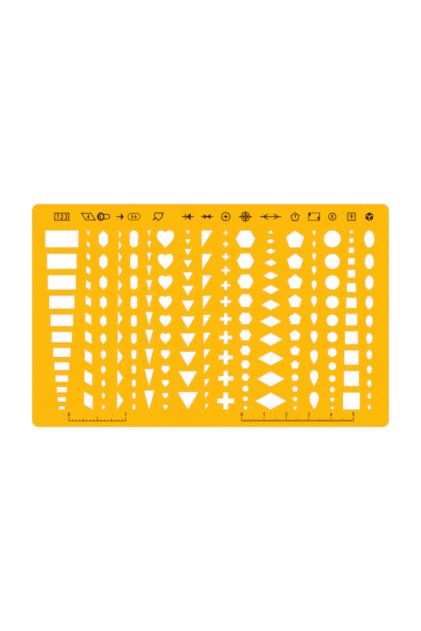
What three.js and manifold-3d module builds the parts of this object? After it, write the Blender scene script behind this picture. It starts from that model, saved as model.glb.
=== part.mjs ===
// Jewellery design template: one flat amber plastic sheet with seventeen columns of stone-shaped
// cut-outs to draw round, and black marks printed on its top face.
// Millimetres, +Z up. The sheet lies on its underside with the printed face up.
// Origin: the middle of the underside. +X runs along the long side, +Y towards the row of marks.
import * as THREE from "three";
import { mergeVertices } from "three/addons/utils/BufferGeometryUtils.js";
import Module from "manifold-3d";

const wasm = await Module();
wasm.setup();

// Sheet
const sheetThickness = 1.0;
const cornerRadius = 3.0;
const leftMargin = 6.0; // from the edge to the widest cut-out of the first column
const rightMargin = 6.62; // from the widest cut-out of the last column to the edge
const topMargin = 11.95; // from the edge to the first row of cut-outs
const bottomMargin = 7.95; // from the last row of cut-outs to the edge
const fieldDepth = 80.1; // from the top of the first row to the bottom of the last

// Stone sizes, largest first. Rounds, squares and baguettes follow the calibrated stones. Every other
// shape follows even steps of about half a millimetre, and most of those leave out the smallest.
const calibratedStones = [7.45, 6.65, 6.3, 5.65, 5.05, 4.5, 3.9, 3.3, 2.8, 2.25, 1.8, 1.2];
const evenStones = [7.5, 6.7, 6.2, 5.65, 5.1, 4.6, 4.05, 3.55, 3.0, 2.45, 1.95, 1.45];

// How much wider a web gets for each millimetre of the stones beside it
const calibratedWebGrowth = 0.06;
const evenWebGrowth = 0.04;
const shorterWebGrowth = 0.01;

// Webs: the plastic between the middle-sized cut-outs of a column and of the one to its left
const webWidths = {
  parallelograms: 6.53, longHexagons: 4.33, arrowheads: 5.41, oblongs: 4.06, narrowTriangles: 4.22,
  hearts: 3.53, triangles: 5.09, rightTriangles: 4.47, crosses: 4.56, hexagons: 4.0, rhombuses: 4.84,
  pentagons: 4.6, drops: 4.97, rounds: 4.78, squares: 4.33, ovals: 4.54,
};

// Some shapes are this much wider or taller than their stones ask, in every size
const extraWidths = { arrowheads: 0.4, oblongs: 0.22, narrowTriangles: 0.27, rightTriangles: 0.2 };
const extraHeights = {
  longHexagons: 0.15, arrowheads: 1.9, oblongs: 0.3, narrowTriangles: 0.44, triangles: 0.2,
  rightTriangles: 0.5, drops: 0.3,
};

// Shares of the cut-outs
const slantShare = 0.28; // drop of the parallelogram's slanted sides, of its height
const hexagonPointShare = 0.27; // height of the long hexagon's points, of its height
const crossArmShare = 0.28; // width of the cross's arms, of its width

// Round outlines
const cutChordLength = 0.9; // longest straight step round a curved cut-out
const inkChordLength = 0.4; // and round a printed curve
const fewestSteps = 6; // steps round half of the smallest circle
const cutterReach = 1.0; // how far each cutter runs past both faces of the sheet

// Print
const inkThickness = 0.05;
const lineWidth = 0.45;
const fineLineWidth = 0.33;
const numeralLineWidth = 0.36;
const numeralShare = 0.56; // width of a numeral, of its height
const numeralGap = 0.5; // between two numerals side by side
const numeralSteps = 8; // steps along a numeral's curve
const markInset = 5.7; // from the top edge to the middle of the row of marks

// Marks with a number in a frame. The gaps lie between the number and the frame.
const boxMark = { numeralHeight: 2.3, sideGap: 0.5, endGap: 0.2 };
const slantedMark = { numeralHeight: 2.05, sideGap: 2.27, endGap: 0.25 };
const slantedBoxShare = 0.31; // slant of the slanted box, of its width
const oblongMark = { numeralHeight: 1.75, sideGap: 1.32, endGap: 0.44 };
const pentagonMark = { numeralHeight: 1.8, sideGap: 1.08, endGap: 0.59 };
const roundMark = { numeralHeight: 1.85, sideGap: 0.87, endGap: 0.46 };
const squareMark = { numeralHeight: 2.15, sideGap: 0.82, endGap: 0.35 };

// Other marks
const boltMark = {
  length: 5.7, headWidth: 3.4, headHeight: 3.9, heavySideWidth: 1.0,
  eyeWidth: 1.4, eyeHeight: 2.7, shankInset: 0.9,
};
const arrowMark = { length: 3.3, headLength: 1.4, headWidth: 3.4 };
const heartMark = {
  width: 3.7, height: 3.5, offsetX: 0.5, arrowRadius: 3.0, arrowAngle: 34, arrowOffsetY: 0.2,
  tailWidth: 0.6, tailInset: 0.7, tipInset: 0.3,
};
const diodeMark = { length: 5.4, barWidth: 0.42, barHeight: 2.6, gap: 0.35, headLength: 1.8, headWidth: 3.3 };
const bowTieMark = { length: 5.5, wingLength: 1.55, wingWidth: 2.3 };
const starMark = { diameter: 3.7, gap: 0.4, waistShare: 0.42 };
const targetMark = { width: 4.1, height: 3.6, diameter: 2.0, sideLength: 0.9, endLength: 0.65 };
const doubleArrowMark = { length: 9.5, tipInset: 1.35, armLength: 2.1, armHeight: 1.15 };
const dropsMark = { width: 4.9, height: 3.3, dropWidth: 1.0, dropHeight: 1.7 };
const cubeMark = { radius: 2.0, edgeWidth: 0.42, edgeInset: 0.45 };

// Scales
const scaleInset = 2.6; // from the bottom edge to the scales' base lines
const scaleLineWidth = 0.3;
const scaleNumeralHeight = 1.8;
const scaleNumeralLineWidth = 0.3;
const scaleNumeralGap = 0.4; // between the longest tick and the numeral above it
const shortTickHeight = 0.8;
const middleTickHeight = 1.2;
const longTickHeight = 1.8;
const inchLength = 25.4;
const inchDivisions = 16;
const inchScaleInset = 16.6; // from the left edge
const metricScaleInset = 16.0; // from the right edge
const metricScaleLength = 50;
const millimetreLength = 1;

const point = (x, y) => new THREE.Vector2(x, y);
const run = (corners) => corners.map(([x, y]) => point(x, y));
const moved = (points, x, y) => points.map((corner) => point(corner.x + x, corner.y + y));
const radians = THREE.MathUtils.degToRad;
const polar = (radius, angle) => [radius * Math.cos(radians(angle)), radius * Math.sin(radians(angle))];
const sum = (numbers) => numbers.reduce((total, number) => total + number, 0);
const mean = (numbers) => sum(numbers) / numbers.length;

// Outlines. Each takes a width and a height and gives the points of a shape centred on the origin.
const polygon = (corners) => (width, height) =>
  corners.map(([x, y]) => point(x * width, y * height));

const rectangle = polygon([[-0.5, -0.5], [0.5, -0.5], [0.5, 0.5], [-0.5, 0.5]]);
const slantedBox = polygon([
  [slantedBoxShare - 0.5, -0.5], [0.5, -0.5], [0.5 - slantedBoxShare, 0.5], [-0.5, 0.5],
]);
const parallelogram = polygon([
  [-0.5, slantShare - 0.5], [0.5, -0.5], [0.5, 0.5 - slantShare], [-0.5, 0.5],
]);
const longHexagon = polygon([
  [0, -0.5], [0.5, hexagonPointShare - 0.5], [0.5, 0.5 - hexagonPointShare],
  [0, 0.5], [-0.5, 0.5 - hexagonPointShare], [-0.5, hexagonPointShare - 0.5],
]);
const arrowTriangle = polygon([[-0.5, -0.5], [0.5, 0], [-0.5, 0.5]]);
const downTriangle = polygon([[-0.5, 0.5], [0, -0.5], [0.5, 0.5]]);
const rightTriangle = polygon([[-0.5, 0.5], [-0.5, -0.5], [0.5, 0.5]]);
const rhombus = polygon([[-0.5, 0], [0, -0.5], [0.5, 0], [0, 0.5]]);
const hexagon = polygon([
  [-0.5, 0], [-0.25, -0.5], [0.25, -0.5], [0.5, 0], [0.25, 0.5], [-0.25, 0.5],
]);

function cross(width, height) {
  const arm = crossArmShare / 2;
  return polygon([
    [-arm, -0.5], [arm, -0.5], [arm, -arm], [0.5, -arm], [0.5, arm], [arm, arm],
    [arm, 0.5], [-arm, 0.5], [-arm, arm], [-0.5, arm], [-0.5, -arm], [-arm, -arm],
  ])(width, height);
}

function pentagon(width, height) {
  const corners = [0, 1, 2, 3, 4].map((corner) => polar(1, 90 + (corner * 360) / 5));
  const widest = corners[4][0];
  const foot = corners[2][1];
  return polygon(
    corners.map(([x, y]) => [x / (2 * widest), (y - foot) / (1 - foot) - 0.5]),
  )(width, height);
}

const halfSteps = (radius, chordLength) =>
  Math.ceil(Math.max(fewestSteps, (Math.PI * radius) / chordLength));

function ellipse(width, height, chordLength = inkChordLength) {
  const steps = 2 * halfSteps(Math.max(width, height) / 2, chordLength);
  return new THREE.EllipseCurve(0, 0, width / 2, height / 2).getPoints(steps).slice(0, steps);
}

function arc(x, y, radiusX, radiusY, from, to, steps = numeralSteps) {
  const clockwise = to < from;
  return new THREE.EllipseCurve(x, y, radiusX, radiusY, radians(from), radians(to), clockwise)
    .getPoints(steps);
}

// Straight sides with half a circle at each end, across the longer way
function oblong(width, height, chordLength = inkChordLength) {
  const upright = height > width;
  const radius = Math.min(width, height) / 2;
  const reach = Math.max(width, height) / 2 - radius;
  const steps = halfSteps(radius, chordLength);
  return upright
    ? [...arc(0, reach, radius, radius, 0, 180, steps), ...arc(0, -reach, radius, radius, 180, 360, steps)]
    : [...arc(reach, 0, radius, radius, -90, 90, steps), ...arc(-reach, 0, radius, radius, 90, 270, steps)];
}

// The right half of a heart or a drop is drawn in a box one unit wide and high, then mirrored.
function mirrored(half, width, height, chordLength) {
  const right = half.getPoints(Math.ceil(halfSteps(height / 2, chordLength) / half.curves.length));
  const left = right.slice(1, -1).reverse().map(({ x, y }) => point(-x, y));
  return [...right, ...left].map(({ x, y }) => point(x * width, y * height));
}

function heart(width, height, chordLength = inkChordLength) {
  const half = new THREE.Path().moveTo(0, 0.39);
  half.bezierCurveTo(0.07, 0.47, 0.16, 0.5, 0.26, 0.5);
  half.bezierCurveTo(0.4, 0.5, 0.5, 0.38, 0.5, 0.2);
  half.bezierCurveTo(0.5, -0.06, 0.23, -0.26, 0, -0.5);
  return mirrored(half, width, height, chordLength);
}

function drop(width, height, chordLength = inkChordLength) {
  const half = new THREE.Path().moveTo(0, 0.5);
  half.bezierCurveTo(0.28, 0.5, 0.5, 0.36, 0.5, 0.17);
  half.bezierCurveTo(0.5, -0.02, 0.27, -0.24, 0, -0.5);
  return mirrored(half, width, height, chordLength);
}

// Sets of stones with the growth of their webs. Triangles keep as close as the shorter columns do,
// and arrowheads spread as the even ones do.
const calibrated = { stones: calibratedStones, webGrowth: calibratedWebGrowth };
const even = { stones: evenStones, webGrowth: evenWebGrowth };
const evenClose = { ...even, webGrowth: shorterWebGrowth };
const shorter = { stones: evenStones.slice(0, -1), webGrowth: shorterWebGrowth };
const shorterSpread = { ...shorter, webGrowth: evenWebGrowth };
const down = { largeFirst: true };
const up = { largeFirst: false };

// Columns from left to right. across and tall are the cut-out's width and height, of its stone.
const columns = [
  { name: "baguettes", outline: rectangle, across: 1.98, tall: 1, ...calibrated, ...down },
  { name: "parallelograms", outline: parallelogram, across: 0.505, tall: 1.06, ...shorter, ...up },
  { name: "longHexagons", outline: longHexagon, across: 0.53, tall: 0.99, ...shorter, ...down },
  { name: "arrowheads", outline: arrowTriangle, across: 0.31, tall: 0.8, ...shorterSpread, ...up },
  { name: "oblongs", outline: oblong, across: 0.465, tall: 0.95, ...shorter, ...down },
  { name: "narrowTriangles", outline: downTriangle, across: 0.56, tall: 1.06, ...shorter, ...up },
  { name: "hearts", outline: heart, across: 1.01, tall: 1.02, ...shorter, ...down },
  { name: "triangles", outline: downTriangle, across: 1.21, tall: 1, ...evenClose, ...up },
  { name: "rightTriangles", outline: rightTriangle, across: 0.61, tall: 0.96, ...shorter, ...down },
  { name: "crosses", outline: cross, across: 1, tall: 1, ...shorter, ...up },
  { name: "hexagons", outline: hexagon, across: 1.155, tall: 1, ...even, ...down },
  { name: "rhombuses", outline: rhombus, across: 1.83, tall: 0.99, ...even, ...up },
  { name: "pentagons", outline: pentagon, across: 1.065, tall: 1, ...even, ...down },
  { name: "drops", outline: drop, across: 0.545, tall: 0.99, ...shorter, ...up },
  { name: "rounds", outline: ellipse, across: 1, tall: 1, ...calibrated, ...down },
  { name: "squares", outline: rectangle, across: 1, tall: 1, ...calibrated, ...up },
  { name: "ovals", outline: ellipse, across: 0.588, tall: 1, ...shorter, ...down },
];

const cutWidth = ({ name, across }, stone) => across * stone + (extraWidths[name] ?? 0);
const cutHeight = ({ name, tall }, stone) => tall * stone + (extraHeights[name] ?? 0);

// Each column keeps its web to the one before, and the sheet's length follows.
let reach = leftMargin + cutWidth(columns[0], Math.max(...columns[0].stones)) / 2;
let halfBefore = 0;
for (const column of columns) {
  const half = cutWidth(column, mean(column.stones)) / 2;
  reach += column === columns[0] ? 0 : halfBefore + webWidths[column.name] + half;
  column.fromLeft = reach;
  halfBefore = half;
}
const last = columns.at(-1);
const sheetLength = reach + cutWidth(last, Math.max(...last.stones)) / 2 + rightMargin;
const sheetWidth = topMargin + fieldDepth + bottomMargin;
const fieldTop = sheetWidth / 2 - topMargin;
const fieldMiddle = fieldTop - fieldDepth / 2;
for (const column of columns) {
  column.x = column.fromLeft - sheetLength / 2;
}
const columnX = (name) => columns.find((column) => column.name === name).x;

// The webs of a column share what its stones leave of the field's depth, wider between larger stones.
// A cut-out taller than its stone is drawn in, so that the column still fills the field.
function rowHeights(column) {
  const { stones, webGrowth, largeFirst } = column;
  const overhang = (stone) => (cutHeight(column, stone) - stone) / 2;
  const weights = stones.slice(1).map((stone, row) => 1 + (webGrowth * (stone + stones[row])) / 2);
  const depth = fieldDepth - overhang(stones[0]) - overhang(stones.at(-1));
  const unit = (depth - sum(stones)) / sum(weights);
  let top = fieldTop - overhang(stones[0]);
  return stones.map((stone, row) => {
    const middle = top - stone / 2;
    top -= stone + unit * (weights[row] ?? 0);
    return largeFirst ? middle : 2 * fieldMiddle - middle;
  });
}

function cutouts(column) {
  const heights = rowHeights(column);
  return column.stones.map((stone, row) => {
    const outline = column.outline(cutWidth(column, stone), cutHeight(column, stone), cutChordLength);
    return moved(outline, column.x, heights[row]);
  });
}

function sheetOutline() {
  const x = sheetLength / 2 - cornerRadius;
  const y = sheetWidth / 2 - cornerRadius;
  const steps = halfSteps(cornerRadius, cutChordLength);
  const corner = (cx, cy, start) =>
    arc(cx, cy, cornerRadius, cornerRadius, start, start + 90, steps);
  return [...corner(x, y, 0), ...corner(-x, y, 90), ...corner(-x, -y, 180), ...corner(x, -y, 270)];
}

function prism(outline, depth, holes = []) {
  const anticlockwise = THREE.ShapeUtils.isClockWise(outline) ? outline.toReversed() : outline;
  const shape = new THREE.Shape(anticlockwise);
  shape.holes = holes.map((hole) => new THREE.Path(hole));
  return new THREE.ExtrudeGeometry(shape, { depth, bevelEnabled: false });
}

// Printed lines. A run of points is moved sideways with mitred corners to give a line's two sides.
function sideways(points, distance, closed) {
  const count = points.length;
  return points.map((corner, index) => {
    const before = points[(index + count - 1) % count];
    const after = points[(index + 1) % count];
    const arriving = closed || index > 0 ? corner.clone().sub(before) : null;
    const leaving = closed || index < count - 1 ? after.clone().sub(corner) : null;
    const first = (arriving ?? leaving).clone().normalize();
    const second = (leaving ?? arriving).clone().normalize();
    const normal = point(-first.y - second.y, first.x + second.x).normalize();
    const mitre = distance / normal.dot(point(-first.y, first.x));
    return corner.clone().addScaledVector(normal, mitre);
  });
}

const inkArea = (outline, holes) => prism(outline, inkThickness, holes);

function inkStroke(points, width = lineWidth) {
  const left = sideways(points, width / 2, false);
  const right = sideways(points, -width / 2, false);
  return inkArea([...left, ...right.reverse()]);
}

function inkRing(points, width = lineWidth) {
  const size = (side) => Math.abs(THREE.ShapeUtils.area(side));
  const sides = [sideways(points, width / 2, true), sideways(points, -width / 2, true)];
  const [inner, outer] = sides.sort((a, b) => size(a) - size(b));
  return inkArea(outer, [inner]);
}

// A mark that is the same above and below its middle line, from the points of its upper side
function spindle(upper) {
  const lower = upper.filter(([, y]) => y > 0).map(([x, y]) => [x, -y]).reverse();
  return inkArea(run([...upper, ...lower]));
}

function toSolid(geometry) {
  const bare = geometry.clone();
  bare.deleteAttribute("normal");
  bare.deleteAttribute("uv");
  const merged = mergeVertices(bare, 1e-5);
  return new wasm.Manifold(
    new wasm.Mesh({
      numProp: 3,
      vertProperties: Float32Array.from(merged.attributes.position.array),
      triVerts: Uint32Array.from(merged.index.array),
    }),
  );
}

function toGeometry(solid) {
  const mesh = solid.getMesh();
  const geometry = new THREE.BufferGeometry();
  geometry.setAttribute("position", new THREE.BufferAttribute(mesh.vertProperties, 3));
  geometry.setIndex(new THREE.BufferAttribute(mesh.triVerts, 1));
  geometry.computeVertexNormals();
  return geometry;
}

const united = (pieces) =>
  toGeometry(pieces.map(toSolid).reduce((whole, piece) => whole.add(piece)));

const cutBy = (blank, cutters) =>
  toGeometry(cutters.map(toSolid).reduce((rest, cutter) => rest.subtract(cutter), toSolid(blank)));

// Numerals as single strokes in a box one unit wide and high
const ring = (x, y, radiusX, radiusY) => ({
  ring: arc(x, y, radiusX, radiusY, 0, 360, 2 * numeralSteps).slice(1),
});
const line = (...points) => ({ line: points.flat() });
const numeralStrokes = [
  [ring(0.5, 0.5, 0.5, 0.5)],
  [line(run([[0.1, 0.74], [0.6, 1], [0.6, 0]]))],
  [line(arc(0.5, 0.7, 0.5, 0.3, 165, -35), run([[0, 0], [1, 0]]))],
  [line(arc(0.5, 0.76, 0.44, 0.24, 150, -90)), line(arc(0.5, 0.27, 0.5, 0.27, 90, -150))],
  [line(run([[0.72, 0], [0.72, 1]])), line(run([[0.72, 1], [0, 0.3], [1, 0.3]]))],
  [line(run([[0.9, 1], [0.15, 1]]), arc(0.48, 0.32, 0.5, 0.32, 135, -145))],
  [ring(0.5, 0.3, 0.5, 0.3), line(arc(0.95, 0.3, 0.95, 0.7, 180, 105))],
  [line(run([[0, 1], [1, 1], [0.35, 0]]))],
  [ring(0.5, 0.76, 0.43, 0.24), ring(0.5, 0.27, 0.5, 0.27)],
  [ring(0.5, 0.7, 0.5, 0.3), line(arc(0.05, 0.7, 0.95, 0.7, 0, -75))],
];

function numeral(digit, height, pen) {
  const width = numeralShare * height;
  const fit = (points) =>
    points.map(({ x, y }) => point((x - 0.5) * (width - pen), (y - 0.5) * (height - pen)));
  const strokes = numeralStrokes[digit].map((stroke) =>
    stroke.ring ? inkRing(fit(stroke.ring), pen) : inkStroke(fit(stroke.line), pen),
  );
  return strokes.length === 1 ? strokes[0] : united(strokes);
}

const template = new THREE.Group();

const plastic = { color: 0xfcb902, roughness: 0.22, metalness: 0 };
const ink = { color: 0x1a1008, roughness: 0.5, metalness: 0 };

function addPiece(name, geometry, finish, x, y, z) {
  const mesh = new THREE.Mesh(geometry, new THREE.MeshStandardMaterial(finish));
  mesh.name = name;
  mesh.position.set(x, y, z);
  template.add(mesh);
}

const addPrint = (name, geometry, x, y) =>
  addPiece(`printed_${name}`, geometry, ink, x, y, sheetThickness);

const digitsOf = (number) => [...String(number)].map(Number);
const numberPitch = (height) => numeralShare * height + numeralGap;
const numberWidth = (number, height) => digitsOf(number).length * numberPitch(height) - numeralGap;

// A number centred on x and y, each numeral a piece of its own
function addNumber(name, number, x, y, height, pen) {
  const digits = digitsOf(number);
  digits.forEach((digit, place) => {
    const offset = (place - (digits.length - 1) / 2) * numberPitch(height);
    const ending = digits.length > 1 ? `_${place + 1}` : "";
    addPrint(name + ending, numeral(digit, height, pen), x + offset, y);
  });
}

// The sheet: a blank with every cut-out taken through it
const blank = prism(sheetOutline(), sheetThickness);
const cutters = columns.flatMap(cutouts).map((outline) =>
  prism(outline, sheetThickness + 2 * cutterReach).translate(0, 0, -cutterReach),
);
addPiece("template_sheet", cutBy(blank, cutters), plastic, 0, 0, 0);

// The row of marks, each above the column whose shape it uses
const markY = sheetWidth / 2 - markInset;

// Marks with a number in a frame
const bold = { pen: lineWidth, framePen: lineWidth };
const plain = { pen: numeralLineWidth, framePen: lineWidth };
const light = { pen: numeralLineWidth, framePen: fineLineWidth };
const framedNumbers = [
  { name: "box", column: "baguettes", outline: rectangle, number: 123, ...boxMark, ...bold },
  { name: "slanted_box", column: "parallelograms", outline: slantedBox, number: 4, ...slantedMark, ...bold },
  { name: "oblong", column: "oblongs", outline: oblong, number: 56, ...oblongMark, ...light },
  { name: "pentagon", column: "pentagons", outline: pentagon, number: 7, ...pentagonMark, ...bold },
  { name: "round", column: "rounds", outline: ellipse, number: 8, ...roundMark, ...plain },
  { name: "square", column: "squares", outline: rectangle, number: 9, ...squareMark, ...bold },
];

function addFramedNumber(mark) {
  const { name, column, outline, number, numeralHeight, sideGap, endGap, pen, framePen } = mark;
  const x = columnX(column);
  const frameWidth = numberWidth(number, numeralHeight) + 2 * sideGap + framePen;
  const frameHeight = numeralHeight + 2 * endGap + framePen;
  addPrint(`${name}_frame`, inkRing(outline(frameWidth, frameHeight), framePen), x, markY);
  addNumber(`${name}_numeral`, number, x, markY, numeralHeight, pen);
}

// A round bolt head, heavy on its left side, with an eye on its right and a round-ended shank
function addBolt({ length, headWidth, headHeight, heavySideWidth, eyeWidth, eyeHeight, shankInset }) {
  const headX = (headWidth - length) / 2;
  const hollowWidth = headWidth - heavySideWidth - lineWidth;
  const hollowX = headX + (heavySideWidth - lineWidth) / 2;
  const hollow = moved(ellipse(hollowWidth, headHeight - 2 * lineWidth), hollowX, 0);
  const head = inkArea(moved(ellipse(headWidth, headHeight), headX, 0), [hollow]);
  const eyeX = hollowX + (hollowWidth - eyeWidth) / 2;
  const eye = inkRing(moved(ellipse(eyeWidth, eyeHeight), eyeX, 0));
  const shankHalf = headHeight / 2 - shankInset;
  const rimShare = Math.sqrt(1 - ((2 * shankHalf) / headHeight) ** 2);
  const shankFrom = headX + (headWidth / 2) * rimShare - lineWidth;
  const shankSteps = halfSteps(shankHalf, inkChordLength);
  const shank = inkStroke([
    point(shankFrom, -shankHalf),
    ...arc(length / 2 - shankHalf, 0, shankHalf, shankHalf, -90, 90, shankSteps),
    point(shankFrom, shankHalf),
  ]);
  addPrint("bolt", united([head, eye, shank]), columnX("longHexagons"), markY);
}

function addArrow({ length, headLength, headWidth }) {
  const half = lineWidth / 2;
  const end = length / 2;
  const arrow = spindle([
    [-end, half], [end - headLength, half], [end - headLength, headWidth / 2], [end, 0],
  ]);
  addPrint("arrow", arrow, columnX("arrowheads"), markY);
}

// A heart with the two ends of an arrow through it
function addHeart(mark) {
  const x = (columnX("narrowTriangles") + columnX("hearts")) / 2 + mark.offsetX;
  const end = (side, inset, width) => {
    const within = polar(side * (mark.width / 2 - inset), mark.arrowAngle);
    const outer = polar(side * mark.arrowRadius, mark.arrowAngle);
    return inkStroke(moved(run([within, outer]), 0, mark.arrowOffsetY), width);
  };
  const pieces = [
    inkRing(heart(mark.width, mark.height)),
    end(-1, mark.tailInset, mark.tailWidth),
    end(1, mark.tipInset, lineWidth),
  ];
  addPrint("heart_and_arrow", united(pieces), x, markY);
}

function addDiode({ length, barWidth, barHeight, gap, headLength, headWidth }) {
  const half = lineWidth / 2;
  const end = length / 2;
  const bar = -(barWidth + gap + headLength) / 2;
  const tip = bar + barWidth + gap;
  const diode = spindle([
    [-end, half], [bar, half], [bar, barHeight / 2], [bar + barWidth, barHeight / 2],
    [bar + barWidth, half], [tip, half], [tip + headLength, headWidth / 2],
    [tip + headLength, half], [end, half],
  ]);
  addPrint("diode", diode, columnX("triangles"), markY);
}

function addBowTie({ length, wingLength, wingWidth }) {
  const half = lineWidth / 2;
  const side = (way) => [
    [way * length / 2, half], [way * wingLength, half], [way * wingLength, wingWidth / 2],
  ];
  const upper = [...side(-1), [0, half], ...side(1).reverse()];
  addPrint("bow_tie", spindle(upper), columnX("rightTriangles"), markY);
}

function addStar({ diameter, gap, waistShare }) {
  const x = columnX("crosses");
  const tip = (diameter - lineWidth) / 2 - gap;
  const corners = [0, 90, 180, 270].flatMap((angle) => [
    polar(tip, angle), polar(waistShare * tip, angle + 45),
  ]);
  addPrint("star_ring", inkRing(ellipse(diameter, diameter)), x, markY);
  addPrint("star", inkArea(run(corners)), x, markY);
}

function addTarget({ width, height, diameter, sideLength, endLength }) {
  const target = united([
    inkRing(hexagon(width, height)),
    inkRing(ellipse(diameter, diameter)),
    inkArea(rectangle(width + 2 * sideLength, lineWidth)),
    inkArea(rectangle(lineWidth, height + 2 * endLength)),
  ]);
  addPrint("target", target, columnX("hexagons"), markY);
}

function addDoubleArrow({ length, tipInset, armLength, armHeight }) {
  const tip = length / 2 - tipInset;
  const head = (side) => inkStroke(run([
    [side * (tip - armLength), armHeight], [side * tip, 0], [side * (tip - armLength), -armHeight],
  ]));
  const doubleArrow = united([inkArea(rectangle(length, lineWidth)), head(-1), head(1)]);
  addPrint("double_arrow", doubleArrow, columnX("rhombuses"), markY);
}

function addBoxWithDrops({ width, height, dropWidth, dropHeight }) {
  const drops = [-1, 1].map((side) => {
    const x = (side * (width - dropWidth)) / 2;
    const y = (-side * (height - dropHeight)) / 2;
    return inkArea(moved(drop(dropWidth, dropHeight), x, y));
  });
  const mark = united([inkRing(rectangle(width, height), fineLineWidth), ...drops]);
  addPrint("box_with_drops", mark, columnX("drops"), markY);
}

// A cube seen on its corner: a filled hexagon with three light edges meeting in the middle
function addCube({ radius, edgeWidth, edgeInset }) {
  const outline = [30, 90, 150, 210, 270, 330].map((angle) => polar(radius, angle));
  const edges = [-90, 30, 150].flatMap((angle) => {
    const [alongX, alongY] = polar(radius - edgeInset, angle);
    const [besideX, besideY] = polar(edgeWidth / 2, angle - 90);
    return [
      [alongX + besideX, alongY + besideY],
      [alongX - besideX, alongY - besideY],
      polar(edgeWidth / Math.sqrt(3), angle + 60),
    ];
  });
  addPrint("cube", inkArea(run(outline), [run(edges)]), columnX("ovals"), markY);
}

framedNumbers.forEach(addFramedNumber);
addBolt(boltMark);
addArrow(arrowMark);
addHeart(heartMark);
addDiode(diodeMark);
addBowTie(bowTieMark);
addStar(starMark);
addTarget(targetMark);
addDoubleArrow(doubleArrowMark);
addBoxWithDrops(dropsMark);
addCube(cubeMark);

// The scales along the bottom edge. A scale is a base line with ticks standing on it, in one piece,
// and plain numerals above.
const scales = [
  {
    name: "inch_scale", from: inchScaleInset - sheetLength / 2,
    divisions: inchDivisions, spacing: inchLength / inchDivisions,
    middleEvery: inchDivisions / 4, longEvery: inchDivisions / 2, numeralEvery: inchDivisions,
  },
  {
    name: "metric_scale", from: sheetLength / 2 - metricScaleInset - metricScaleLength,
    divisions: metricScaleLength / millimetreLength, spacing: millimetreLength,
    middleEvery: 5, longEvery: 10, numeralEvery: 10,
  },
];

function tickHeight(tick, { middleEvery, longEvery }) {
  if (tick % longEvery === 0) return longTickHeight;
  return tick % middleEvery === 0 ? middleTickHeight : shortTickHeight;
}

function comb(scale) {
  const half = scaleLineWidth / 2;
  const teeth = [];
  for (let tick = 0; tick <= scale.divisions; tick += 1) {
    const middle = tick * scale.spacing;
    const top = tickHeight(tick, scale);
    teeth.push([middle - half, scaleLineWidth], [middle - half, top]);
    teeth.push([middle + half, top], [middle + half, scaleLineWidth]);
  }
  const end = teeth.at(-1)[0];
  return inkArea(run([[-half, 0], [end, 0], ...teeth.slice(1, -1).reverse()]));
}

function addScale(scale) {
  const baseY = scaleInset - sheetWidth / 2;
  const numeralY = baseY + longTickHeight + scaleNumeralGap + scaleNumeralHeight / 2;
  addPrint(scale.name, comb(scale), scale.from, baseY);
  for (let tick = 0; tick <= scale.divisions; tick += scale.numeralEvery) {
    const number = tick / scale.numeralEvery;
    const x = scale.from + tick * scale.spacing;
    const name = `${scale.name}_numeral_${number}`;
    addNumber(name, number, x, numeralY, scaleNumeralHeight, scaleNumeralLineWidth);
  }
}

scales.forEach(addScale);

export default template;
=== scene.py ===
# A jewellery design template lying flat on a pale floor, seen from straight above.
# Metres, +Z up. +X runs along the long side of the sheet and +Y towards its row of printed marks.
from math import ceil, cos, pi, radians, sin

import bmesh
import bpy
from mathutils import Matrix, Vector
from mathutils.geometry import interpolate_bezier


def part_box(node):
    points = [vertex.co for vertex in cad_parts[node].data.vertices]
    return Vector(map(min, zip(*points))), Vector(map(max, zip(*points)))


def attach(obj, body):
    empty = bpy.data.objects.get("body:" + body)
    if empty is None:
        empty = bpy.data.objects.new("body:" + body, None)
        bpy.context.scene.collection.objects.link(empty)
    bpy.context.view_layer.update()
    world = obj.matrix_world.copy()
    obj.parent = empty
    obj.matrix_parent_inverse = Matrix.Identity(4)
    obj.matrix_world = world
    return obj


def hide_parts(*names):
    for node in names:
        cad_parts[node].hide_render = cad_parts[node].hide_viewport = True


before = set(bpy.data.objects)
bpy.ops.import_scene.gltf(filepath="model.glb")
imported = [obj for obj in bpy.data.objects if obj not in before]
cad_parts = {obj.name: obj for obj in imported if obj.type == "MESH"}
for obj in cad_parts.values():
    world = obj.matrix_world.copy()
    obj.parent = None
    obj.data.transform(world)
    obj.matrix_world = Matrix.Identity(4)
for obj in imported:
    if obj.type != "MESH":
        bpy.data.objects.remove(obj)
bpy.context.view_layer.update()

MM = 0.001

# The sheet's outer size comes from the frame.
SHEET_LOW, SHEET_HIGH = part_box("template_sheet")
LENGTH = SHEET_HIGH.x - SHEET_LOW.x
WIDTH = SHEET_HIGH.y - SHEET_LOW.y
THICKNESS = SHEET_HIGH.z - SHEET_LOW.z

# Sheet
SHEET_CORNER = 3.0 * MM
LEFT_MARGIN = 6.0 * MM  # from the edge to the widest cut-out of the first column
TOP_MARGIN = 11.95 * MM  # from the edge to the first row of cut-outs
FIELD_DEPTH = 80.1 * MM  # from the top of the first row to the bottom of the last

# Rims, corners and curves
RIM_RADIUS = 0.09 * MM
RIM_STEPS = 3
SHEET_CORNER_STEPS = 24
CUT_CORNER = 0.12 * MM
CUT_CORNER_STEPS = 3
CHORD = 0.3 * MM  # longest straight step round a curved cut-out
FEWEST_SEGMENTS = 20
FLAT = 0.999  # the Z part of a flat face's normal is more than this
UPRIGHT = 0.001  # and that of a wall's normal is less than this
EDGE_FINISH = 1  # the cut edge's place in the sheet's list of materials

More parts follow.
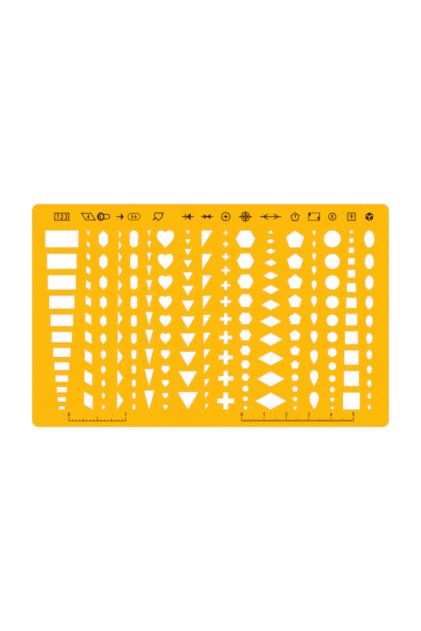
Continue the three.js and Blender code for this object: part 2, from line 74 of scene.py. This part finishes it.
# Stone sizes in millimetres, largest first, and how much wider a web gets for each millimetre
# of the stones beside it
CALIBRATED_STONES = [7.45, 6.65, 6.3, 5.65, 5.05, 4.5, 3.9, 3.3, 2.8, 2.25, 1.8, 1.2]
EVEN_STONES = [7.5, 6.7, 6.2, 5.65, 5.1, 4.6, 4.05, 3.55, 3.0, 2.45, 1.95, 1.45]
CALIBRATED = dict(stones=CALIBRATED_STONES, growth=0.06)
EVEN = dict(stones=EVEN_STONES, growth=0.04)
EVEN_CLOSE = dict(stones=EVEN_STONES, growth=0.01)
SHORTER = dict(stones=EVEN_STONES[:-1], growth=0.01)
SHORTER_SPREAD = dict(stones=EVEN_STONES[:-1], growth=0.04)
DOWN = dict(largest_first=True)
UP = dict(largest_first=False)

# Shares of a cut-out's height or width
SLANT = 0.28  # how far a parallelogram falls to the right
HEXAGON_POINT = 0.27  # how tall each point of a long hexagon is
CROSS_ARM = 0.28  # how wide the arms of a cross are

# Colours and roughness of the finishes, each between two values
AMBER = ((0.948, 0.472, 0.0), (0.968, 0.483, 0.0))
AMBER_ROUGHNESS = (0.16, 0.24)
# The walls' deeper amber is painted shade, standing in for light passing through more of the tinted
# plastic
CUT_AMBER_PAINTED_SHADE = ((0.83, 0.33, 0.0), (0.95, 0.42, 0.0))
CUT_ROUGHNESS = (0.3, 0.48)
INK = ((0.032, 0.007, 0.0), (0.052, 0.012, 0.0))
INK_ROUGHNESS = (0.42, 0.6)
NOISE_SPAN = (0.3, 0.7)  # nearly all of a noise lies between these

# Floor and studio
FLOOR_HALF = 1.5  # past it the studio's own white takes over
FLOOR_GAP = 0.02 * MM
FLOOR_MATT = 0.1  # the part of the floor's white that takes a shadow
FLOOR_GLOW = 0.9
STUDIO_LIGHT = 0.4
DARK_FROM = 0.4  # the studio is black above this height on a globe of radius 1, seen in a reflection

# Camera and lamps
PHOTO_PIXELS = (421, 631)
SHEET_PIXELS = 357.03  # the sheet's length in the photograph
CAMERA_HEIGHT = 1.2
LAMP_AZIMUTHS = dict(front_lamp=225, back_lamp=45)
LAMP_HEIGHT_ANGLE = 40
LAMP_REACH = 1.7  # from the sheet to each lamp
LAMP_SIZE = 1.3
LAMP_POWER = 16.9


# Outlines of the cut-outs, as corners in a box one unit wide and high
def parallelogram():
    return [(-0.5, SLANT - 0.5), (0.5, -0.5), (0.5, 0.5 - SLANT), (-0.5, 0.5)]


def long_hexagon():
    side = 0.5 - HEXAGON_POINT
    return [(0, -0.5), (0.5, -side), (0.5, side), (0, 0.5), (-0.5, side), (-0.5, -side)]


def cross():
    arm = CROSS_ARM / 2
    quarter = [(0.5, -arm), (0.5, arm), (arm, arm)]
    turns = [Matrix.Rotation(radians(90 * turn), 2) for turn in range(4)]
    return [tuple(turn @ Vector(corner)) for turn in turns for corner in quarter]


def pentagon():
    """A regular one with a point at the top, pulled to the sides of the box."""
    sides = 5
    angles = [radians(90 + 360 / sides * corner) for corner in range(sides)]
    corners = [(cos(angle), sin(angle)) for angle in angles]
    widest = max(x for x, y in corners)
    foot = min(y for x, y in corners)
    return [(x / (2 * widest), (y - foot) / (1 - foot) - 0.5) for x, y in corners]


RECTANGLE = [(-0.5, -0.5), (0.5, -0.5), (0.5, 0.5), (-0.5, 0.5)]
ARROWHEAD = [(-0.5, -0.5), (0.5, 0), (-0.5, 0.5)]
DOWN_TRIANGLE = [(-0.5, 0.5), (0, -0.5), (0.5, 0.5)]
RIGHT_TRIANGLE = [(-0.5, 0.5), (-0.5, -0.5), (0.5, 0.5)]
RHOMBUS = [(-0.5, 0), (0, -0.5), (0.5, 0), (0, 0.5)]
HEXAGON = [(-0.5, 0), (-0.25, -0.5), (0.25, -0.5), (0.5, 0), (0.25, 0.5), (-0.25, 0.5)]

# The right half of a heart and of a drop: each curve's two handles and its end
HEART_START = (0, 0.39)
HEART_CURVES = [
    ((0.07, 0.47), (0.16, 0.5), (0.26, 0.5)),
    ((0.4, 0.5), (0.5, 0.38), (0.5, 0.2)),
    ((0.5, -0.06), (0.23, -0.26), (0, -0.5)),
]
DROP_START = (0, 0.5)
DROP_CURVES = [
    ((0.28, 0.5), (0.5, 0.36), (0.5, 0.17)),
    ((0.5, -0.02), (0.27, -0.24), (0, -0.5)),
]


def segments_round(width, height):
    """How many steps go round a curved cut-out: always an even number."""
    return max(FEWEST_SEGMENTS, 2 * ceil(pi * (width + height) / 4 / CHORD))


def add_face(bm, points):
    return bm.faces.new([bm.verts.new((x, y, 0)) for x, y in points])


def round_corners(bm, face, radius, steps):
    bmesh.ops.bevel(
        bm, geom=list(face.verts), affect="VERTICES", offset=radius, offset_type="OFFSET",
        segments=steps, profile=0.5, material=-1, clamp_overlap=True,
    )


def angular(corners):
    """A straight-sided cut-out, with its corners as small as a punch leaves them."""
    def draw(bm, place, width, height):
        face = add_face(bm, [(place.x + x * width, place.y + y * height) for x, y in corners])
        round_corners(bm, face, CUT_CORNER, CUT_CORNER_STEPS)
    return draw


def draw_round(bm, place, width, height):
    """A circle, or an oval where the height isn't the width."""
    shape = Matrix.Translation(place) @ Matrix.Diagonal((width / 2, height / 2, 1, 1))
    bmesh.ops.create_circle(
        bm, cap_ends=True, segments=segments_round(width, height), radius=1, matrix=shape,
    )


def draw_oblong(bm, place, width, height):
    """A circle pulled apart into two half circles."""
    segments = segments_round(width, width)
    segments += -segments % 4
    made = bmesh.ops.create_circle(
        bm, cap_ends=True, segments=segments, radius=width / 2, matrix=Matrix.Translation(place),
    )
    pull = (height - width) / 2
    for vert in made["verts"]:
        rise = vert.co.y - place.y
        vert.co.y += pull if rise >= 0 else -pull


def curved(start, curves):
    """A cut-out drawn as its right half and mirrored."""
    def draw(bm, place, width, height):
        steps = ceil(segments_round(width, height) / 2 / len(curves)) + 1
        half = [Vector(start)]
        for first, second, end in curves:
            points = interpolate_bezier(half[-1], Vector(first), Vector(second), Vector(end), steps)
            half.extend(points[1:])
        whole = half + [Vector((-point.x, point.y)) for point in half[-2:0:-1]]
        add_face(bm, [(place.x + p.x * width, place.y + p.y * height) for p in whole])
    return draw


# Columns from left to right. across and tall are a cut-out's width and height as shares of its
# stone. In millimetres, wider and taller are what every size has on top, and web is the plastic
# between the column's middle-sized cut-outs and the column before.
COLUMNS = [
    dict(draw=angular(RECTANGLE), across=1.98, tall=1, **CALIBRATED, **DOWN),
    dict(draw=angular(parallelogram()), across=0.505, tall=1.06, web=6.53, **SHORTER, **UP),
    dict(draw=angular(long_hexagon()), across=0.53, tall=0.99, taller=0.15, web=4.33, **SHORTER, **DOWN),
    dict(
        draw=angular(ARROWHEAD), across=0.31, tall=0.8, wider=0.4, taller=1.9, web=5.41,
        **SHORTER_SPREAD, **UP,
    ),
    dict(draw=draw_oblong, across=0.465, tall=0.95, wider=0.22, taller=0.3, web=4.06, **SHORTER, **DOWN),
    dict(
        draw=angular(DOWN_TRIANGLE), across=0.56, tall=1.06, wider=0.27, taller=0.44, web=4.22,
        **SHORTER, **UP,
    ),
    dict(draw=curved(HEART_START, HEART_CURVES), across=1.01, tall=1.02, web=3.53, **SHORTER, **DOWN),
    dict(draw=angular(DOWN_TRIANGLE), across=1.21, tall=1, taller=0.2, web=5.09, **EVEN_CLOSE, **UP),
    dict(
        draw=angular(RIGHT_TRIANGLE), across=0.61, tall=0.96, wider=0.2, taller=0.5, web=4.47,
        **SHORTER, **DOWN,
    ),
    dict(draw=angular(cross()), across=1, tall=1, web=4.56, **SHORTER, **UP),
    dict(draw=angular(HEXAGON), across=1.155, tall=1, web=4, **EVEN, **DOWN),
    dict(draw=angular(RHOMBUS), across=1.83, tall=0.99, web=4.84, **EVEN, **UP),
    dict(draw=angular(pentagon()), across=1.065, tall=1, web=4.6, **EVEN, **DOWN),
    dict(
        draw=curved(DROP_START, DROP_CURVES), across=0.545, tall=0.99, taller=0.3, web=4.97,
        **SHORTER, **UP,
    ),
    dict(draw=draw_round, across=1, tall=1, web=4.78, **CALIBRATED, **DOWN),
    dict(draw=angular(RECTANGLE), across=1, tall=1, web=4.33, **CALIBRATED, **UP),
    dict(draw=draw_round, across=0.588, tall=1, web=4.54, **SHORTER, **DOWN),
]


def row_middles(stones, heights, growth, largest_first):
    """The middles of a column's cut-outs. Its webs share what the stones leave of the field's depth."""
    overhangs = [(height - stone) / 2 for height, stone in zip(heights, stones)]
    weights = [1 + growth * (a + b) / 2 / MM for a, b in zip(stones, stones[1:])]
    depth = FIELD_DEPTH - overhangs[0] - overhangs[-1]
    unit = (depth - sum(stones)) / sum(weights)
    field_top = WIDTH / 2 - TOP_MARGIN
    field_middle = field_top - FIELD_DEPTH / 2
    top = field_top - overhangs[0]
    middles = []
    for stone, weight in zip(stones, weights + [0]):
        middles.append(top - stone / 2)
        top -= stone + unit * weight
    return middles if largest_first else [2 * field_middle - middle for middle in middles]


def draw_columns(bm):
    for column in COLUMNS:
        stones = [size * MM for size in column["stones"]]
        widths = [column["across"] * stone + column.get("wider", 0) * MM for stone in stones]
        heights = [column["tall"] * stone + column.get("taller", 0) * MM for stone in stones]
        half = sum(widths) / len(widths) / 2
        if column is COLUMNS[0]:
            x = LEFT_MARGIN + widths[0] / 2
        else:
            x += half_before + column["web"] * MM + half
        half_before = half
        middles = row_middles(stones, heights, column["growth"], column["largest_first"])
        for width, height, middle in zip(widths, heights, middles):
            column["draw"](bm, Vector((x - LENGTH / 2, middle, 0)), width, height)


def draw_outer_edge(bm):
    face = add_face(bm, [(x * LENGTH, y * WIDTH) for x, y in RECTANGLE])
    round_corners(bm, face, SHEET_CORNER, SHEET_CORNER_STEPS)


def fill_round_cut_outs(bm):
    """Leaves only the outlines, and fills the sheet between them, facing down."""
    bmesh.ops.delete(bm, geom=list(bm.faces), context="FACES_ONLY")
    bmesh.ops.triangle_fill(bm, use_beauty=True, edges=list(bm.edges))
    bmesh.ops.recalc_face_normals(bm, faces=list(bm.faces))
    if bm.faces[0].normal.z > 0:
        bmesh.ops.reverse_faces(bm, faces=list(bm.faces))


def thicken(bm):
    """Lifts a copy of the filled face, with walls between the two. The rims come on top of this."""
    bmesh.ops.translate(bm, vec=(0, 0, RIM_RADIUS), verts=list(bm.verts))
    made = bmesh.ops.extrude_face_region(bm, geom=list(bm.faces), use_keep_orig=True)
    lifted = [part for part in made["geom"] if isinstance(part, bmesh.types.BMVert)]
    bmesh.ops.translate(bm, vec=(0, 0, THICKNESS - 2 * RIM_RADIUS), verts=lifted)
    bmesh.ops.recalc_face_normals(bm, faces=list(bm.faces))
    bm.normal_update()


def round_rims(bm, face_up):
    """Draws one face of the sheet in and out in steps, so that its rims are quarter rounds."""
    side = 1 if face_up else -1
    cap = [face for face in bm.faces if face.normal.z * side > FLAT]
    angles = [radians(90 * step / RIM_STEPS) for step in range(RIM_STEPS + 1)]
    for before, after in zip(angles, angles[1:]):
        inward = RIM_RADIUS * (cos(before) - cos(after))
        bmesh.ops.inset_region(
            bm, faces=cap, thickness=inward, depth=0, use_boundary=True, use_even_offset=True,
        )
        rise = side * RIM_RADIUS * (sin(after) - sin(before))
        verts = {vert for face in cap for vert in face.verts}
        bmesh.ops.translate(bm, vec=(0, 0, rise), verts=list(verts))


def make_sheet():
    bm = bmesh.new()
    draw_outer_edge(bm)
    draw_columns(bm)
    fill_round_cut_outs(bm)
    thicken(bm)
    round_rims(bm, face_up=True)
    round_rims(bm, face_up=False)
    bm.normal_update()
    for face in bm.faces:
        face.smooth = abs(face.normal.z) <= FLAT
        if abs(face.normal.z) < UPRIGHT:
            face.material_index = EDGE_FINISH
    mesh = bpy.data.meshes.new("amber_sheet")
    bm.to_mesh(mesh)
    bm.free()
    return mesh


class Finish:
    """A material with a Principled shader and the nodes that feed it, on Object coordinates."""

    def __init__(self, name, specular):
        self.material = bpy.data.materials.new(name)
        self.material.use_nodes = True
        self.tree = self.material.node_tree
        self.shader = self.tree.nodes["Principled BSDF"]
        self.shader.inputs["Specular IOR Level"].default_value = specular
        self.place = self.add("ShaderNodeTexCoord").outputs["Object"]

    def add(self, kind, **settings):
        node = self.tree.nodes.new(kind)
        for key, value in settings.items():
            setattr(node, key, value)
        return node

    def link(self, source, target):
        self.tree.links.new(source, target)

    def noise(self, scale, detail, stretch=(1, 1, 1), turn=0):
        mapping = self.add("ShaderNodeMapping")
        mapping.inputs["Scale"].default_value = stretch
        mapping.inputs["Rotation"].default_value = (0, 0, radians(turn))
        texture = self.add("ShaderNodeTexNoise")
        texture.inputs["Scale"].default_value = scale
        texture.inputs["Detail"].default_value = detail
        self.link(self.place, mapping.inputs["Vector"])
        self.link(mapping.outputs["Vector"], texture.inputs["Vector"])
        return texture.outputs["Fac"]

    def between(self, noise, low, high):
        """Stretches a noise to run from low to high."""
        node = self.add("ShaderNodeMapRange")
        sockets = ("From Min", "From Max", "To Min", "To Max")
        for socket, number in zip(sockets, (*NOISE_SPAN, low, high)):
            node.inputs[socket].default_value = number
        self.link(noise, node.inputs["Value"])
        return node.outputs["Result"]

    def blend(self, noise, first, second):
        """Drifts from one colour to another with a noise."""
        node = self.add("ShaderNodeMix", data_type="RGBA")
        self.link(self.between(noise, 0, 1), node.inputs["Factor"])
        colours = [socket for socket in node.inputs if socket.type == "RGBA"]
        colours[0].default_value = (*first, 1)
        colours[1].default_value = (*second, 1)
        return next(socket for socket in node.outputs if socket.type == "RGBA")

    def bump(self, noise, depth, strength, under=None):
        node = self.add("ShaderNodeBump")
        node.inputs["Strength"].default_value = strength
        node.inputs["Distance"].default_value = depth
        self.link(noise, node.inputs["Height"])
        if under:
            self.link(under, node.inputs["Normal"])
        return node.outputs["Normal"]

    def connect(self, colour, roughness, normal):
        self.link(colour, self.shader.inputs["Base Color"])
        self.link(roughness, self.shader.inputs["Roughness"])
        self.link(normal, self.shader.inputs["Normal"])
        return self.material


def amber_plastic():
    """The two faces of the sheet: faintly cloudy, with slanting scuffs, slow waves and a fine grain."""
    finish = Finish("amber_plastic", specular=0.18)
    clouds = finish.noise(scale=45, detail=2)
    scuffs = finish.noise(scale=60, detail=3, stretch=(1, 40, 1), turn=24)
    waves = finish.noise(scale=120, detail=1)
    grain = finish.noise(scale=1800, detail=2)
    wavy = finish.bump(waves, depth=0.02 * MM, strength=0.1)
    return finish.connect(
        colour=finish.blend(clouds, *AMBER),
        roughness=finish.between(scuffs, *AMBER_ROUGHNESS),
        normal=finish.bump(grain, depth=0.002 * MM, strength=0.1, under=wavy),
    )


def amber_cut_edge_with_painted_shade():
    """The walls of the sheet and its cut-outs: painted deeper in colour, as painted shade for light
    passing through more of the tinted plastic, with fine upright tool marks.
    """
    finish = Finish("amber_cut_edge_with_painted_shade", specular=0.4)
    clouds = finish.noise(scale=300, detail=2)
    tool_marks = finish.noise(scale=2200, detail=2, stretch=(1, 1, 0.05))
    return finish.connect(
        # the wall colour drifts between two deeper ambers: painted shade for light through the plastic,
        # plus random tone
        colour=finish.blend(clouds, *CUT_AMBER_PAINTED_SHADE),
        roughness=finish.between(tool_marks, *CUT_ROUGHNESS),
        normal=finish.bump(tool_marks, depth=0.01 * MM, strength=0.4),
    )


def black_ink():
    """Screen-printed ink: a little mottled, with the marks of the screen's mesh."""
    finish = Finish("black_ink", specular=0.08)
    mottle = finish.noise(scale=900, detail=4)
    mesh_marks = finish.noise(scale=4500, detail=2)
    return finish.connect(
        colour=finish.blend(mottle, *INK),
        roughness=finish.between(mottle, *INK_ROUGHNESS),
        normal=finish.bump(mesh_marks, depth=0.006 * MM, strength=0.4),
    )


def add_object(name, data):
    thing = bpy.data.objects.new(name, data)
    bpy.context.scene.collection.objects.link(thing)
    return thing


def add_sheet():
    mesh = make_sheet()
    mesh.materials.append(amber_plastic())
    mesh.materials.append(amber_cut_edge_with_painted_shade())
    sheet = add_object("amber_sheet", mesh)
    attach(sheet, "root")
    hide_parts("template_sheet")


def finish_print():
    ink = black_ink()
    for name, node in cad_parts.items():
        if name.startswith("printed_"):
            node.data.materials.clear()
            node.data.materials.append(ink)


def split_by_view(tree, plain, seen, output):
    """Shows seen to the camera and in reflections, and lights the object with plain."""
    path = tree.nodes.new("ShaderNodeLightPath")
    in_view = path.outputs["Is Camera Ray"]
    for kind in ("Is Glossy Ray", "Is Transmission Ray"):
        either = tree.nodes.new("ShaderNodeMath")
        either.operation = "MAXIMUM"
        tree.links.new(in_view, either.inputs[0])
        tree.links.new(path.outputs[kind], either.inputs[1])
        in_view = either.outputs[0]
    mix = tree.nodes.new("ShaderNodeMixShader")
    tree.links.new(in_view, mix.inputs[0])
    tree.links.new(plain, mix.inputs[1])
    tree.links.new(seen, mix.inputs[2])
    tree.links.new(mix.outputs[0], output.inputs["Surface"])


def pale_floor():
    """White in view. Only its matt part takes light and shadow."""
    material = bpy.data.materials.new("pale_floor")
    material.use_nodes = True
    tree = material.node_tree
    tree.nodes.clear()
    matt = tree.nodes.new("ShaderNodeBsdfDiffuse")
    matt.inputs["Color"].default_value = (FLOOR_MATT, FLOOR_MATT, FLOOR_MATT, 1)
    glow = tree.nodes.new("ShaderNodeEmission")
    glow.inputs["Color"].default_value = (1, 1, 1, 1)
    glow.inputs["Strength"].default_value = FLOOR_GLOW
    both = tree.nodes.new("ShaderNodeAddShader")
    tree.links.new(matt.outputs[0], both.inputs[0])
    tree.links.new(glow.outputs[0], both.inputs[1])
    output = tree.nodes.new("ShaderNodeOutputMaterial")
    split_by_view(tree, matt.outputs[0], both.outputs[0], output)
    return material


def add_floor():
    bm = bmesh.new()
    bmesh.ops.create_grid(bm, x_segments=1, y_segments=1, size=FLOOR_HALF)
    bmesh.ops.translate(bm, vec=(0, 0, -FLOOR_GAP), verts=list(bm.verts))
    mesh = bpy.data.meshes.new("floor")
    bm.to_mesh(mesh)
    bm.free()
    mesh.materials.append(pale_floor())
    floor = add_object("floor", mesh)


def light_world():
    """Even light all round. In view it is white at the horizon and black overhead, as in a studio."""
    world = bpy.data.worlds.new("studio")
    bpy.context.scene.world = world
    world.use_nodes = True
    tree = world.node_tree
    tree.nodes.clear()
    plain = tree.nodes.new("ShaderNodeBackground")
    plain.inputs["Color"].default_value = (STUDIO_LIGHT, STUDIO_LIGHT, STUDIO_LIGHT, 1)
    direction = tree.nodes.new("ShaderNodeTexCoord")
    parts = tree.nodes.new("ShaderNodeSeparateXYZ")
    fade = tree.nodes.new("ShaderNodeMapRange")
    fade.inputs["From Min"].default_value = 0
    fade.inputs["From Max"].default_value = DARK_FROM
    fade.inputs["To Min"].default_value = 1
    fade.inputs["To Max"].default_value = 0
    seen = tree.nodes.new("ShaderNodeBackground")
    tree.links.new(direction.outputs["Generated"], parts.inputs[0])
    tree.links.new(parts.outputs["Z"], fade.inputs["Value"])
    tree.links.new(fade.outputs["Result"], seen.inputs["Color"])
    output = tree.nodes.new("ShaderNodeOutputWorld")
    split_by_view(tree, plain.outputs[0], seen.outputs[0], output)


def add_lamp(name, azimuth):
    """A square lamp turned towards the sheet."""
    light = bpy.data.lights.new(name, "AREA")
    light.shape = "SQUARE"
    light.size = LAMP_SIZE
    light.energy = LAMP_POWER
    lamp = add_object(name, light)
    flat = LAMP_REACH * cos(radians(LAMP_HEIGHT_ANGLE))
    height = LAMP_REACH * sin(radians(LAMP_HEIGHT_ANGLE))
    lamp.location = (flat * cos(radians(azimuth)), flat * sin(radians(azimuth)), height)
    lamp.rotation_euler = lamp.location.to_track_quat("Z", "Y").to_euler()


def add_camera():
    """Looks straight down. The photograph's long side is its height."""
    data = bpy.data.cameras.new("camera")
    data.type = "ORTHO"
    data.ortho_scale = LENGTH * max(PHOTO_PIXELS) / SHEET_PIXELS
    camera = add_object("camera", data)
    camera.location = (0, 0, CAMERA_HEIGHT)
    bpy.context.scene.camera = camera


add_camera()
add_sheet()
finish_print()
add_floor()
light_world()
for lamp_name, lamp_azimuth in LAMP_AZIMUTHS.items():
    add_lamp(lamp_name, lamp_azimuth)
bpy.context.scene.view_settings.view_transform = "Standard"
